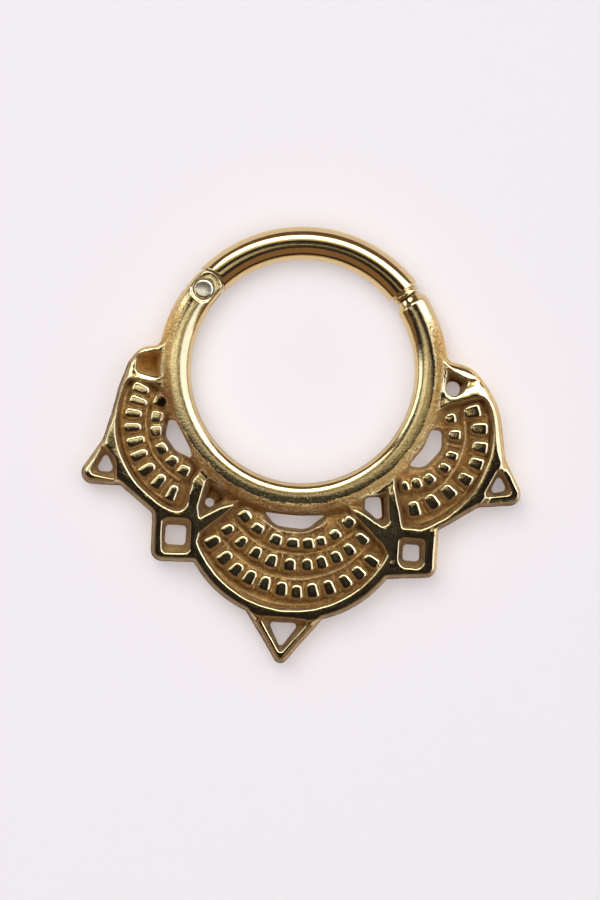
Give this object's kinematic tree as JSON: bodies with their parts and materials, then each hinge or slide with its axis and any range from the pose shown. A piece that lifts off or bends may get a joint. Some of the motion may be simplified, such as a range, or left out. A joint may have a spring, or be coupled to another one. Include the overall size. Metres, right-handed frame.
{
  "type": "septum ring",
  "caption": "Hinged clicker septum ring in brass: a round wire arm that swings open on a pin over a cast lower ring with pierced fans, squares and triangles in raised relief.",
  "frame": {"origin": "the ring's centre, on the plane that the flat back rests on", "axes": "+Z out of the ornament's front, +Y towards the top of the arm that is worn through the piercing, +X to the right seen from the front"},
  "size_m": [0.0158, 0.0157, 0.0012],
  "materials": {
    "cast_brass": "cast, polished on the raised tops and matte in the recesses",
    "polished_brass": "polished",
    "pin_brass": "polished, with fine turning marks"
  },
  "bodies": {
    "body": {"ring_body": "cast_brass", "hinge_pin": "pin_brass"},
    "arm": {"clicker_arm": "polished_brass"}
  },
  "joints": [
    {"name": "arm_hinge", "type": "hinge", "parent": "body", "child": "arm", "pos_m": [-0.00372, 0.0027, 0.00062], "axis": [0, 0, 1], "range_deg": [0, 75]}
  ]
}
